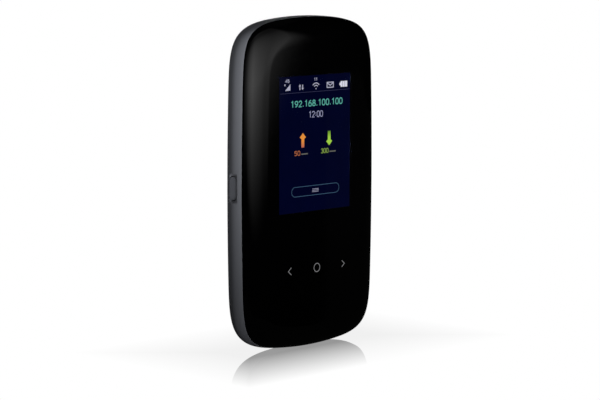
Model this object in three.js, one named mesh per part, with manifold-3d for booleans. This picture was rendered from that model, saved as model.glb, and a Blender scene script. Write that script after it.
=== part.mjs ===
// Mobile hotspot: a pocket Wi-Fi router with a domed gloss front, a rounded matte side frame,
// a lift-off back cover, a removable battery and a sprung power button.
// Millimetres. +Z runs up the long axis, the front faces -Y and +X is the viewer's right.
// The origin is at the middle of the underside, on the small flat that it stands on.
import * as THREE from 'three';
import { mergeVertices } from 'three/addons/utils/BufferGeometryUtils.js';
import Module from 'manifold-3d';

const wasm = await Module();
wasm.setup();

// ---- driving dimensions -------------------------------------------------------------
const COVER_W = 61.6;            // outline of the gloss front, across
const COVER_H = 110;             // outline of the gloss front, along
const DEPTH = 15;                // front face to back face
const BULGE = 0.35;              // how far the side stands proud of the gloss front
const FOOT_FLAT = 0.3;           // how much of the bottom end is levelled off to stand on
const HALF_W = COVER_W / 2;
const HALF_H = COVER_H / 2;
const MID_Z = HALF_H + BULGE - FOOT_FLAT;

// outline: shallow arcs on all four sides, joined by soft corners
const SIDE_ARC_R = 1130;
const SIDE_ARC_Z = 33.1;
const END_ARC_R = 133;
const END_ARC_X = 14.5;
const CORNER_PULL = 14.5;        // length of the corner curve's handles
const CURVE_STEPS = 8;

// depths are measured from the front face towards the back
const DOME_DEPTH = 3.8;
const DOME_INSET = 7.6;
const SIDE_APEX = 6.9;           // depth at which the side is widest
const BACK_ROUND = 8.6;          // how far the side curls in towards the flat back
const SEAM = 10.4;               // between the side frame and the back cover
const FRAME_WALL = 1.6;
const COVER_WALL = 1.2;
const GAP = 0.15;                // clearance between neighbouring pieces
const DECK = [7.6, 8.4];
const BOARD = [4.6, 5.4];

// display, a 2.2 inch 3:4 panel
const SCREEN_W = 33.84;
const SCREEN_H = 45.12;
const SCREEN_Z = 13.3;
const WINDOW_MARGIN = 0.4;
const PANE_T = 0.4;

// touch keys and power button
const KEY_Z = -28.5;
const KEY_PITCH = 13;
const BUTTON_LEN = 7.8;
const BUTTON_WIDE = 3.5;
const BUTTON_DEPTH = 7.75;
const BUTTON_SUNK = 0.2;         // the button's face sits this far below the side
const BUTTON_GAP = 0.3;

// battery and SIM card
const BATTERY = { w: 48, h: 62, z: 1, d: [8.6, 13.3] };
const SIM = { w: 25, h: 15, t: 0.76, x: -5, z: 41.2, depth: 6.2 };

// screws: three on each side
const SCREW_SPOTS = [
  [-23.5, 43], [23.5, 43], [-26.1, 14], [26.1, 14], [-23.5, -43], [23.5, -43],
];
const SCREW_HOLE_R = 0.85;
const BOSS_R = 1.8;

// ---- materials ----------------------------------------------------------------------
function material(color, roughness, metalness = 0) {
  return new THREE.MeshStandardMaterial({ color, roughness, metalness });
}

const gloss = material(0x040405, 0.06);
const clear = material(0x10131c, 0.04);
const matte = material(0x3c3e43, 0.55);
const cell = material(0x050620, 0.1);
const white = material(0xe6e6e2, 0.6);
const steel = material(0xb4b6b8, 0.35, 0.9);
const gold = material(0xc9a14a, 0.35, 0.9);
const board = material(0x0d3b2a, 0.5);
const chip = material(0x141416, 0.6);
const flex = material(0xa8641c, 0.5);
const wrap = material(0x202226, 0.5);
const foam = material(0x101012, 0.95);
const blank = material(0xd8d8d4, 0.7);

// ---- solids -------------------------------------------------------------------------
function toSolid(geometry) {
  const bare = geometry.clone();
  bare.deleteAttribute('normal');
  bare.deleteAttribute('uv');
  const merged = mergeVertices(bare, 1e-5);
  return new wasm.Manifold(new wasm.Mesh({
    numProp: 3,
    vertProperties: new Float32Array(merged.attributes.position.array),
    triVerts: new Uint32Array(merged.index.array),
  }));
}

function toMesh(name, solid, finish) {
  const { vertProperties, triVerts } = solid.getMesh();
  const geometry = new THREE.BufferGeometry();
  geometry.setAttribute('position', new THREE.BufferAttribute(vertProperties, 3));
  geometry.setIndex(new THREE.BufferAttribute(triVerts, 1));
  geometry.computeVertexNormals();
  const mesh = new THREE.Mesh(geometry, finish);
  mesh.name = name;
  return mesh;
}

// a block between two corners: x, depth and z ranges, z counted from mid-height
function block([x0, x1], [d0, d1], [z0, z1]) {
  const geometry = new THREE.BoxGeometry(x1 - x0, d1 - d0, z1 - z0);
  geometry.translate((x0 + x1) / 2, (d0 + d1 - DEPTH) / 2, (z0 + z1) / 2 + MID_Z);
  return toSolid(geometry);
}

// a flat shape drawn in x and z, thickened between two depths
function plate(shape, [d0, d1], steps = 4) {
  const options = { depth: d1 - d0, bevelEnabled: false, curveSegments: steps };
  const geometry = new THREE.ExtrudeGeometry(shape, options);
  geometry.rotateX(Math.PI / 2);
  geometry.translate(0, d1 - DEPTH / 2, MID_Z);
  return toSolid(geometry);
}

// a round rod that runs front to back
function rod(x, z, radius, [d0, d1], sides = 16) {
  const geometry = new THREE.CylinderGeometry(radius, radius, d1 - d0, sides);
  geometry.translate(x, (d0 + d1 - DEPTH) / 2, z + MID_Z);
  return toSolid(geometry);
}

function roundedRect(cx, cz, w, h, r) {
  const [l, b] = [cx - w / 2, cz - h / 2];
  const shape = new THREE.Shape();
  shape.moveTo(l + r, b);
  shape.lineTo(l + w - r, b);
  shape.absarc(l + w - r, b + r, r, -Math.PI / 2, 0);
  shape.lineTo(l + w, b + h - r);
  shape.absarc(l + w - r, b + h - r, r, 0, Math.PI / 2);
  shape.lineTo(l + r, b + h);
  shape.absarc(l + r, b + h - r, r, Math.PI / 2, Math.PI);
  shape.lineTo(l, b + r);
  shape.absarc(l + r, b + r, r, Math.PI, Math.PI * 1.5);
  return shape;
}

function framePlate(outer, inner, depths) {
  outer.holes.push(inner);
  return plate(outer, depths);
}

function polygon(points) {
  return new THREE.Shape(points.map(([x, z]) => new THREE.Vector2(x, z)));
}

// the body's outline, grown or shrunk by scaling each half size
function bodyOutline(grow = 0) {
  const sx = (HALF_W + grow) / HALF_W;
  const sz = (HALF_H + grow) / HALF_H;
  const sideX = HALF_W - SIDE_ARC_Z ** 2 / (2 * SIDE_ARC_R);
  const endZ = HALF_H - END_ARC_X ** 2 / (2 * END_ARC_R);
  const sideLean = SIDE_ARC_Z / SIDE_ARC_R;
  const endLean = END_ARC_X / END_ARC_R;
  const nearSide = [
    sideX - CORNER_PULL * Math.sin(sideLean),
    SIDE_ARC_Z + CORNER_PULL * Math.cos(sideLean),
  ];
  const nearEnd = [
    END_ARC_X + CORNER_PULL * Math.cos(endLean),
    endZ - CORNER_PULL * Math.sin(endLean),
  ];
  const at = (x, z) => [x * sx, z * sz];
  const corner = (shape, mx, mz, first, second, last) => shape.bezierCurveTo(
    ...at(mx * first[0], mz * first[1]),
    ...at(mx * second[0], mz * second[1]),
    ...at(mx * last[0], mz * last[1]),
  );
  const side = [sideX, SIDE_ARC_Z];
  const end = [END_ARC_X, endZ];
  const shape = new THREE.Shape();
  shape.moveTo(...at(sideX, -SIDE_ARC_Z));
  shape.quadraticCurveTo(...at(2 * HALF_W - sideX, 0), ...at(sideX, SIDE_ARC_Z));
  corner(shape, 1, 1, nearSide, nearEnd, end);
  shape.quadraticCurveTo(...at(0, 2 * HALF_H - endZ), ...at(-END_ARC_X, endZ));
  corner(shape, -1, 1, nearEnd, nearSide, side);
  shape.quadraticCurveTo(...at(sideX - 2 * HALF_W, 0), ...at(-sideX, -SIDE_ARC_Z));
  corner(shape, -1, -1, nearSide, nearEnd, end);
  shape.quadraticCurveTo(...at(0, endZ - 2 * HALF_H), ...at(END_ARC_X, -endZ));
  corner(shape, 1, -1, nearEnd, nearSide, side);
  return shape;
}

// skins the outline through a list of [grow, depth] stations; a ring joins its last
// station to its first, anything else is closed by a flat cap at each end
function loft(stations, ring = false) {
  const points = [];
  const index = [];
  const count = CURVE_STEPS * 8;
  stations.forEach(([grow, depth]) => {
    const outline = bodyOutline(grow).getPoints(CURVE_STEPS).slice(0, count);
    outline.forEach((p) => points.push(p.x, depth - DEPTH / 2, p.y + MID_Z));
  });
  const bands = ring ? stations.length : stations.length - 1;
  for (let band = 0; band < bands; band += 1) {
    const lower = band * count;
    const upper = ((band + 1) % stations.length) * count;
    for (let i = 0; i < count; i += 1) {
      const next = (i + 1) % count;
      index.push(lower + i, upper + i, lower + next);
      index.push(lower + next, upper + i, upper + next);
    }
  }
  if (!ring) {
    const last = (stations.length - 1) * count;
    points.push(0, stations[0][1] - DEPTH / 2, MID_Z);
    points.push(0, stations.at(-1)[1] - DEPTH / 2, MID_Z);
    const middle = stations.length * count;
    for (let i = 0; i < count; i += 1) {
      const next = (i + 1) % count;
      index.push(middle, i, next);
      index.push(middle + 1, last + next, last + i);
    }
  }
  const geometry = new THREE.BufferGeometry();
  geometry.setAttribute('position', new THREE.Float32BufferAttribute(points, 3));
  geometry.setIndex(index);
  return toSolid(geometry);
}

// ---- body profiles ------------------------------------------------------------------
function domeStations(offset, steps) {
  const stations = [];
  for (let i = 0; i <= steps; i += 1) {
    const turn = (Math.PI / 2) * (1 - i / steps);
    const grow = -(DOME_INSET - offset) * (1 - Math.cos(turn)) - offset;
    stations.push([grow, offset + (DOME_DEPTH - offset) * (1 - Math.sin(turn))]);
  }
  return stations;
}

const SIDE_LEAD = SIDE_APEX - DOME_DEPTH;
const SIDE_R = (SIDE_LEAD ** 2 + BULGE ** 2) / (2 * BULGE);

// the side at a given depth: an arc up to its widest point, then the rounded back, for a
// skin that lies `offset` inside the outside
function sideGrow(depth, offset = 0) {
  if (depth < SIDE_APEX) return BULGE - SIDE_R + Math.sqrt(SIDE_R ** 2 - (SIDE_APEX - depth) ** 2);
  const part = Math.min((depth - SIDE_APEX) / (DEPTH - offset - SIDE_APEX), 1);
  return BULGE - offset - (BACK_ROUND - offset) * (1 - Math.sqrt(1 - part ** 2));
}

function backStations(from, offset, steps) {
  const stations = [];
  const span = DEPTH - offset - SIDE_APEX;
  const first = Math.asin((from - SIDE_APEX) / span);
  for (let i = 0; i <= steps; i += 1) {
    const turn = first + (Math.PI / 2 - first) * (i / steps);
    const depth = SIDE_APEX + span * Math.sin(turn);
    stations.push([sideGrow(depth, offset), depth]);
  }
  return stations;
}

// ---- front cover and display --------------------------------------------------------
function frontCover() {
  const skirtEnd = DOME_DEPTH + 1.2;
  const skirtOut = -FRAME_WALL - GAP;
  const outside = [
    ...domeStations(0, 6),
    [skirtOut, DOME_DEPTH],
    [skirtOut, skirtEnd],
  ];
  const inside = [
    ...domeStations(COVER_WALL, 4).slice(0, -1),
    [skirtOut - COVER_WALL, DOME_DEPTH],
    [skirtOut - COVER_WALL, skirtEnd + 1],
  ];
  const openWidth = SCREEN_W + 2 * WINDOW_MARGIN;
  const openHeight = SCREEN_H + 2 * WINDOW_MARGIN;
  const opening = roundedRect(0, SCREEN_Z, openWidth, openHeight, 0.6);
  let cover = loft(outside).subtract(loft(inside));
  cover = cover.subtract(plate(opening, [-1, 3], 3));
  for (const [x, z] of SCREW_SPOTS) {
    cover = cover.add(rod(x, z, BOSS_R, [COVER_WALL - 0.4, DECK[0] - GAP]));
    cover = cover.subtract(rod(x, z, SCREW_HOLE_R - 0.15, [3.6, DECK[0] + 1], 12));
  }
  cover = cover.subtract(block([-8, 8], [DOME_DEPTH + 0.3, DECK[0]], [-54, -50]));
  return toMesh('front_cover', cover, gloss);
}

function displayStack() {
  const wide = SCREEN_W + 2 * (WINDOW_MARGIN - GAP);
  const tall = SCREEN_H + 2 * (WINDOW_MARGIN - GAP);
  const pane = plate(roundedRect(0, SCREEN_Z, wide, tall, 0.5), [0, PANE_T], 3);
  const pad = plate(roundedRect(0, SCREEN_Z, wide, tall, 0.5), [PANE_T + GAP, 1.5], 3);
  const seal = framePlate(
    roundedRect(0, SCREEN_Z, SCREEN_W + 4.6, SCREEN_H + 4.6, 1),
    roundedRect(0, SCREEN_Z, SCREEN_W + 1.2, SCREEN_H + 1.2, 0.4),
    [COVER_WALL + 0.05, COVER_WALL + 0.35],
  );
  const chin = 5.4;
  const glass = [SCREEN_Z - SCREEN_H / 2 - chin, SCREEN_Z + SCREEN_H / 2 + 1.9];
  const half = SCREEN_W / 2 + 2.4;
  const panel = block([-half, half], [1.6, 2.9], glass);
  const trayHeight = glass[1] - glass[0] + 0.6;
  const trayShape = roundedRect(0, (glass[0] + glass[1]) / 2, 2 * half + 0.6, trayHeight, 0.8);
  const tray = plate(trayShape, [3, 4.3], 3);
  return [
    toMesh('display_window', pane, clear),
    toMesh('optical_pad', pad, clear),
    toMesh('window_gasket', seal, foam),
    toMesh('lcd_cell', panel, cell),
    toMesh('lcd_backlight', tray, white),
  ];
}

function displayTail() {
  const top = -15.2;
  const shape = new THREE.Shape();
  const tail = top - 7.8;
  const run = [
    [top, 4.42], [tail, 4.42], [tail, 4.2], [top - 0.2, 4.2], [top - 0.2, 3.4], [top, 3.4],
  ];
  shape.setFromPoints(run.map(([z, d]) => new THREE.Vector2(-z, d)));
  const width = 12;
  const geometry = new THREE.ExtrudeGeometry(shape, { depth: width, bevelEnabled: false });
  geometry.rotateY(Math.PI / 2);
  geometry.translate(-width / 2, -DEPTH / 2, MID_Z);
  return [
    toMesh('lcd_flex', toSolid(geometry), flex),
    toMesh('lcd_connector', block([-7, 7], [3.2, 4.1], [-23.2, -20.4]), white),
  ];
}

// ---- touch keys ---------------------------------------------------------------------
function touchKeys() {
  const spots = [['left', -KEY_PITCH], ['center', 0.7], ['right', KEY_PITCH]];
  let sensor = block([-17, 17], [1.35, 1.5], [KEY_Z - 1.2, KEY_Z + 1.2]);
  let guide = block([-16, 16], [1.7, 2.7], [KEY_Z - 1.6, KEY_Z + 1.6]);
  const leds = [];
  for (const [side, x] of spots) {
    sensor = sensor.add(rod(x, KEY_Z, 3.4, [1.35, 1.5], 20));
    guide = guide.add(rod(x, KEY_Z, 2.6, [1.7, 2.7], 20));
    const led = block([x - 0.8, x + 0.8], [3.9, 4.5], [KEY_Z - 0.4, KEY_Z + 0.4]);
    leds.push(toMesh(`key_led_${side}`, led, blank));
  }
  return [
    toMesh('touch_key_flex', sensor, flex),
    toMesh('key_light_guide', guide, white),
    ...leds,
  ];
}

// ---- side frame and deck ------------------------------------------------------------
function obround(cx, cy, length, width) {
  const r = width / 2;
  const reach = length / 2 - r;
  const shape = new THREE.Shape();
  shape.absarc(cx, cy + reach, r, 0, Math.PI);
  shape.absarc(cx, cy - reach, r, Math.PI, 2 * Math.PI);
  return shape;
}

// an upright obround bar along x, centred on the power button
function buttonBar(length, width, [x0, x1]) {
  const shape = obround(0, 0, length, width);
  const options = { depth: x1 - x0, bevelEnabled: false, curveSegments: 8 };
  const geometry = new THREE.ExtrudeGeometry(shape, options);
  geometry.rotateX(Math.PI / 2);
  geometry.rotateZ(Math.PI / 2);
  geometry.translate(x0, BUTTON_DEPTH - DEPTH / 2, MID_Z);
  return toSolid(geometry);
}

// an obround bar along z at the bottom end, for the USB mouth
function mouthBar(length, width, depth, [z0, z1]) {
  const shape = obround(0, 0, length, width);
  const options = { depth: z1 - z0, bevelEnabled: false, curveSegments: 6 };
  const geometry = new THREE.ExtrudeGeometry(shape, options);
  geometry.rotateZ(Math.PI / 2);
  geometry.translate(0, depth - DEPTH / 2, z0 + MID_Z);
  return toSolid(geometry);
}

const USB = { w: 7.5, t: 2.5, depth: 6.75, z: [-54.7, -49.2] };

function sideFrame() {
  const ledge = 1;
  const start = DOME_DEPTH + 0.05;
  const outer = [start, 4.7, 5.7, SIDE_APEX, 7.8, 8.7, 9.6, SEAM];
  const ring = [
    ...outer.map((depth) => [sideGrow(depth), depth]),
    [-FRAME_WALL, SEAM],
    [-FRAME_WALL, DECK[0] - 0.1],
    [-FRAME_WALL - ledge, DECK[0] - 0.1],
    [-FRAME_WALL - ledge, DECK[0] - 0.9],
    [-FRAME_WALL, DECK[0] - 0.9],
    [-FRAME_WALL, start],
  ];
  const inX = -HALF_W + FRAME_WALL;
  let frame = loft(ring, true);
  const slotLength = BUTTON_LEN + 2 * BUTTON_GAP;
  frame = frame.subtract(buttonBar(slotLength, BUTTON_WIDE + 2 * BUTTON_GAP, [-33, -27]));
  frame = frame.subtract(block([inX - 0.1, inX + 3], [5, SEAM + 1], [-5.4, 5.4]));
  frame = frame.subtract(mouthBar(USB.w + 1.3, USB.t + 0.7, USB.depth, [-58, -52]));
  frame = frame.subtract(block([-8, 8], [5, DECK[0] + 0.2], [-53.6, -50]));
  frame = frame.subtract(block([-40, 40], [-1, DEPTH + 1], [-60, -MID_Z]));
  return toMesh('side_frame', frame, matte);
}

// low ribs that locate the battery by its corners
function batteryRibs() {
  const { w, h, z } = BATTERY;
  const thick = 0.6;
  const near = w / 2 + 0.25;
  const top = z + h / 2 + 0.25;
  const bottom = z - h / 2 - 0.25;
  const ribs = [];
  for (const side of [-1, 1]) {
    const xs = [side * near, side * (near + thick)].sort((a, b) => a - b);
    ribs.push([xs, [top - 9, top + thick]], [xs, [bottom - thick, bottom + 9]]);
  }
  ribs.push([[-near, -near + 9], [top, top + thick]], [[near - 9, near], [top, top + thick]]);
  ribs.push([[-near, -near + 9], [bottom - thick, bottom]]);
  ribs.push([[near - 4, near], [bottom - thick, bottom]]);
  return ribs;
}

function innerDeck() {
  const edge = -FRAME_WALL - GAP;
  let deck = plate(bodyOutline(edge), DECK, CURVE_STEPS);
  const cuts = [
    [[-40, -24.6], [-5.8, 5.8]],
    [[-7.5, 7.5], [-60, -46.5]],
    [[-14, 19], [35.8, 48.4]],
    [[4.6, 19.4], [-36, -30.6]],
  ];
  for (const [xs, zs] of cuts) deck = deck.subtract(block(xs, [DECK[0] - 1, DECK[1] + 1], zs));
  for (const [xs, zs] of batteryRibs()) deck = deck.add(block(xs, [DECK[1] - 0.2, DECK[1] + 2], zs));
  for (const [x, z] of SCREW_SPOTS) {
    deck = deck.subtract(rod(x, z, SCREW_HOLE_R + 0.1, [DECK[0] - 1, DECK[1] + 1], 12));
  }
  return toMesh('inner_deck', deck, matte);
}

// pan-head screws with a cross recess, driven in from the back
function screws() {
  return SCREW_SPOTS.map(([x, z], i) => {
    const head = [DECK[1] + 0.05, DECK[1] + 0.75];
    let screw = rod(x, z, 1.45, head, 16).add(rod(x, z, 0.62, [4.4, head[1] - 0.2], 10));
    const slot = [head[1] - 0.35, head[1] + 1];
    screw = screw.subtract(block([x - 0.8, x + 0.8], slot, [z - 0.16, z + 0.16]));
    screw = screw.subtract(block([x - 0.16, x + 0.16], slot, [z - 0.8, z + 0.8]));
    return toMesh(`screw_${i + 1}`, screw, steel);
  });
}

// ---- circuit board ------------------------------------------------------------------
function mainBoard() {
  const shape = polygon([
    [-5.5, -53], [5.5, -53], [5.5, -49.5], [20.3, -49.5], [20.3, -40.2], [24.2, -40.2],
    [24.2, 40.2], [20.3, 40.2], [20.3, 49.5], [-20.3, 49.5], [-20.3, 40.2], [-24.2, 40.2],
    [-24.2, 5], [-27.6, 5], [-27.6, -5], [-24.2, -5], [-24.2, -40.2], [-20.3, -40.2],
    [-20.3, -49.5], [-5.5, -49.5],
  ]);
  return toMesh('main_board', plate(shape, BOARD), board);
}

// a thin-walled can, open towards the board, with vent holes in its lid
function shieldCan(name, xs, zs) {
  const wall = 0.2;
  const depths = [BOARD[1] + 0.05, BOARD[1] + 1.75];
  const inner = (range) => [range[0] + wall, range[1] - wall];
  const middle = [(xs[0] + xs[1]) / 2, (zs[0] + zs[1]) / 2];
  const outside = roundedRect(...middle, xs[1] - xs[0], zs[1] - zs[0], 0.7);
  let can = plate(outside, depths, 2);
  can = can.subtract(block(inner(xs), [depths[0] - 1, depths[1] - wall], inner(zs)));
  for (let i = -1; i <= 1; i += 1) {
    const x = (xs[0] + xs[1]) / 2 + 3 * i;
    can = can.subtract(rod(x, zs[1] - 2.2, 0.5, [depths[1] - 1, depths[1] + 1], 8));
  }
  return toMesh(name, can, steel);
}

function boardParts() {
  const chipDepths = [BOARD[1] + 0.05, BOARD[1] + 1.15];
  const chips = [
    ['modem_chip', [-18, -7], [-14, -3]],
    ['memory_chip', [-18, -9], [-1, 7]],
    ['radio_chip', [5, 13], [-12, -5]],
    ['power_chip', [7, 13], [12, 18]],
  ];
  return [
    shieldCan('shield_modem', [-21, -1], [-18, 11]),
    shieldCan('shield_radio', [2, 21], [-20, 4]),
    shieldCan('shield_power', [2, 21], [8, 27]),
    ...chips.map(([name, xs, zs]) => toMesh(name, block(xs, chipDepths, zs), chip)),
  ];
}

// ---- USB socket ---------------------------------------------------------------------
function usbSocket() {
  const wall = 0.3;
  const flare = 0.9;
  const section = (inset) => {
    const w = USB.w / 2 - inset;
    const t = USB.t / 2 - inset;
    return polygon([[-w, -t], [w, -t], [w, t - flare], [w - flare, t], [flare - w, t], [-w, t - flare]]);
  };
  const tube = (shape, [z0, z1]) => {
    const geometry = new THREE.ExtrudeGeometry(shape, { depth: z1 - z0, bevelEnabled: false });
    geometry.translate(0, USB.depth - DEPTH / 2, z0 + MID_Z);
    return toSolid(geometry);
  };
  const [z0, z1] = USB.z;
  const shell = tube(section(0), USB.z).subtract(tube(section(wall), [z0 - 1, z1 - 0.5]));
  const tongue = block([-2.4, 2.4], [USB.depth - 0.05, USB.depth + 0.55], [z0 + 0.7, z1 - 0.6]);
  return [toMesh('usb_shell', shell, steel), toMesh('usb_tongue', tongue, chip)];
}

// ---- SIM card -----------------------------------------------------------------------
function simParts() {
  const { w, h, t, x, z, depth } = SIM;
  const left = x - w / 2;
  const [low, high] = [z - h / 2, z + h / 2];
  const slot = block(
    [left - 0.3, x + w / 2 + 1],
    [depth - 0.15, depth + t + 0.15],
    [low - 0.2, high + 0.2],
  );
  let socket = block(
    [left - 1.3, x + w / 2 - 4],
    [BOARD[1] + 0.05, depth + t + 0.45],
    [low - 1, high + 0.9],
  );
  socket = socket.subtract(slot);
  socket = socket.subtract(block([x - 5, x + w], [depth, depth + 3], [z - 4, z + 4]));
  const cut = 3;
  const shape = polygon([
    [left, low], [left + w, low], [left + w, high], [left + cut, high], [left, high - cut],
  ]);
  const card = plate(shape, [depth, depth + t]);
  return [toMesh('sim_socket', socket, steel), toMesh('sim_card', card, blank)];
}

// ---- power button -------------------------------------------------------------------
function powerButton() {
  const outX = -HALF_W - sideGrow(BUTTON_DEPTH) + BUTTON_SUNK;
  const inX = -HALF_W + FRAME_WALL;
  const cap = buttonBar(BUTTON_LEN, BUTTON_WIDE, [outX, inX + 0.3]);
  const flange = buttonBar(BUTTON_LEN + 2, BUTTON_WIDE + 1.1, [inX + 0.1, inX + 0.8]);
  const stem = block([inX + 0.5, inX + 1.15], [6, 7.2], [-1, 1]);
  return toMesh('power_button', cap.add(flange).add(stem), matte);
}

function powerSwitch() {
  const face = -27.4;
  let body = block([face, -24.6], [BOARD[1] + 0.05, 7.5], [-2.4, 2.4]);
  body = body.subtract(block([face - 1, face + 1.4], [5.95, 7.05], [-0.9, 0.9]));
  const plunger = block([face - 0.55, face + 0.8], [6.1, 6.9], [-0.75, 0.75]);
  return [toMesh('switch_body', body, steel), toMesh('switch_plunger', plunger, white)];
}

// ---- battery ------------------------------------------------------------------------
function batteryParts() {
  const { w, h, z, d } = BATTERY;
  const bottom = z - h / 2;
  let pack = plate(roundedRect(0, z, w, h, 2), d, 4);
  const contacts = [7, 10, 13, 16];
  pack = pack.subtract(block([5.4, 17.6], [d[0] - 1, d[0] + 0.3], [bottom - 1, bottom + 2.4]));
  pack = pack.subtract(block([5.4, 17.6], [d[0] - 1, d[0] + 2.6], [bottom - 1, bottom + 0.3]));
  const label = plate(roundedRect(0, z + 1, w - 8, h - 14, 1.5), [d[1] + 0.05, d[1] + 0.2], 3);
  const seat = block([5, 19], [BOARD[1] + 0.05, 10.9], [-35.4, -31.9]);
  const pockets = contacts.reduce(
    (solid, x) => solid.subtract(block([x - 0.9, x + 0.9], [8.2, 12], [-33.9, -31])),
    seat,
  );
  const springs = contacts.map((x, i) => toMesh(`battery_spring_${i + 1}`, contactSpring(x), gold));
  return [
    toMesh('battery', pack, wrap),
    toMesh('battery_label', label, blank),
    toMesh('battery_connector', pockets, chip),
    ...springs,
  ];
}

// a bowed leaf that bulges out of the connector towards the battery; it is drawn with its
// height across and its depth upright, then thickened along x
function contactSpring(x) {
  const leaf = 0.2;
  const width = 1.2;
  const bow = new THREE.QuadraticBezierCurve(
    new THREE.Vector2(-33.4, 8.4),
    new THREE.Vector2(-27.6, 8.9),
    new THREE.Vector2(-33.4, 10.6),
  ).getPoints(6);
  const inside = bow.map((p) => new THREE.Vector2(p.x - leaf, p.y)).reverse();
  const shape = new THREE.Shape([...bow, ...inside]);
  const geometry = new THREE.ExtrudeGeometry(shape, { depth: width, bevelEnabled: false });
  geometry.applyMatrix4(new THREE.Matrix4().set(0, 0, 1, 0, 0, 1, 0, 0, 1, 0, 0, 0, 0, 0, 0, 1));
  geometry.scale(-1, 1, 1);
  geometry.translate(x + width / 2, -DEPTH / 2, MID_Z);
  return toSolid(geometry);
}

// ---- antennas -----------------------------------------------------------------------
function antennas() {
  const parts = [];
  const ends = [['top', [-13, 13], [49.2, 50.8]], ['bottom', [8.4, 16.4], [-50.8, -49.2]]];
  for (const [name, xs, zs] of ends) {
    const carrier = block(xs, [DECK[1] + 0.1, 11.1], zs);
    const foil = block([xs[0] + 0.6, xs[1] - 0.6], [11.15, 11.35], zs);
    parts.push(toMesh(`antenna_carrier_${name}`, carrier, chip));
    parts.push(toMesh(`antenna_${name}`, foil, gold));
  }
  const sides = [['left', [-27.35, -27.1], [17, 34]], ['right', [27.1, 27.35], [-34, -14]]];
  for (const [name, xs, zs] of sides) {
    parts.push(toMesh(`antenna_wifi_${name}`, block(xs, [5.2, DECK[0] - 0.15], zs), flex));
  }
  return parts;
}

// ---- back cover ---------------------------------------------------------------------
function backCover() {
  const from = SEAM + 0.05;
  const tongue = SEAM - 0.9;
  const tongueOut = -FRAME_WALL - GAP;
  const outside = [
    [tongueOut, tongue],
    [tongueOut, from],
    ...backStations(from, 0, 7),
  ];
  const inside = [
    [tongueOut - 0.9, tongue - 1],
    [tongueOut - 0.9, from + 0.4],
    ...backStations(from + 1.2, COVER_WALL, 5).slice(1),
  ];
  let cover = loft(outside).subtract(loft(inside));
  const clips = [[-1, 24], [1, 24], [-1, -24], [1, -24]];
  const clipX = HALF_W + tongueOut;
  for (const [sign, z] of clips) {
    const xs = [sign * (clipX - 1.5), sign * (clipX - 0.65)].sort((a, b) => a - b);
    cover = cover.add(block(xs, [DECK[1] + 0.3, from + 0.6], [z - 2.5, z + 2.5]));
  }
  cover = cover.subtract(block([-33, -26], [tongue - 1, SEAM], [-6, 6]));
  const notch = new THREE.SphereGeometry(5, 20, 12);
  notch.scale(0.5, 0.16, 1);
  notch.translate(HALF_W, SEAM - DEPTH / 2, MID_Z - 36);
  return toMesh('back_cover', cover.subtract(toSolid(notch)), matte);
}

// ---- assembly -----------------------------------------------------------------------
const hotspot = new THREE.Group();
hotspot.add(
  frontCover(),
  ...displayStack(),
  ...displayTail(),
  ...touchKeys(),
  sideFrame(),
  innerDeck(),
  ...screws(),
  mainBoard(),
  ...boardParts(),
  ...usbSocket(),
  ...simParts(),
  powerButton(),
  ...powerSwitch(),
  ...batteryParts(),
  ...antennas(),
  backCover(),
);

export default hotspot;
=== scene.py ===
import math

import bmesh
import bpy
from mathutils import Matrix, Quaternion, Vector


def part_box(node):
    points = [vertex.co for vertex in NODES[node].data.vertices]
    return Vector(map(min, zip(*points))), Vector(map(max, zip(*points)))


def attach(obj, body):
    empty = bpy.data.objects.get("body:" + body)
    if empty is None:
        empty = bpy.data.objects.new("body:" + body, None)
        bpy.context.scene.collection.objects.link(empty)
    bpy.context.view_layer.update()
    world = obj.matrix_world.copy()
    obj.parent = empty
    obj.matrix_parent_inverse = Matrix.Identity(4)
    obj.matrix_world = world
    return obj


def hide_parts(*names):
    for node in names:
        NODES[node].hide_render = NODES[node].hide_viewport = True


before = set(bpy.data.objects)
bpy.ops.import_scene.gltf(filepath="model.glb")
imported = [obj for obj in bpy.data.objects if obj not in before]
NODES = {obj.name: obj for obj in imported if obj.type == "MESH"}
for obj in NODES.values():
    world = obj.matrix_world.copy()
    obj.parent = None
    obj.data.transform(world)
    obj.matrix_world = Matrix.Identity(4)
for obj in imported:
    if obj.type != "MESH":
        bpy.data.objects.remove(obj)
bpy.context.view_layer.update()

MM = 0.001

# ---- the body's shape, worked out from the CAD boxes ------------------------------------
COVER_LO, COVER_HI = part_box("front_cover")
HALF_W = (COVER_HI.x - COVER_LO.x) / 2
HALF_H = (COVER_HI.z - COVER_LO.z) / 2
MID_Z = (COVER_LO.z + COVER_HI.z) / 2
FRONT_Y = COVER_LO.y
BACK_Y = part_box("back_cover")[1].y
DEPTH = BACK_Y - FRONT_Y

SIDE_ARC_R = 1130 * MM
SIDE_ARC_Z = 33.1 * MM
END_ARC_R = 133 * MM
END_ARC_X = 14.5 * MM
CORNER_PULL = 14.5 * MM
CURVE_STEPS = 26

DOME_DEPTH = 3.8 * MM
DOME_INSET = 7.6 * MM
BULGE = 0.35 * MM
SIDE_APEX = 6.9 * MM
BACK_ROUND = 8.6 * MM
SIDE_LEAD = SIDE_APEX - DOME_DEPTH
SIDE_R = (SIDE_LEAD ** 2 + BULGE ** 2) / (2 * BULGE)
SEAM = 10.4 * MM
FRAME_WALL = 1.6 * MM
COVER_WALL = 1.2 * MM
GAP = 0.15 * MM          # between neighbouring pieces
SEAM_LINE = 0.06 * MM    # the hairline that shows at a seam

SCREEN_W = 33.84 * MM
SCREEN_H = 45.12 * MM
SCREEN_Z = 13.3 * MM
WINDOW_MARGIN = 0.4 * MM
PANE_T = 0.4 * MM
KEY_Z = -28.5 * MM

BUTTON_LEN = 7.8 * MM
BUTTON_WIDE = 3.5 * MM
BUTTON_GAP = 0.3 * MM
BUTTON_EDGE = 0.2 * MM
USB_MOUTH = (8.8 * MM, 3.2 * MM)


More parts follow.
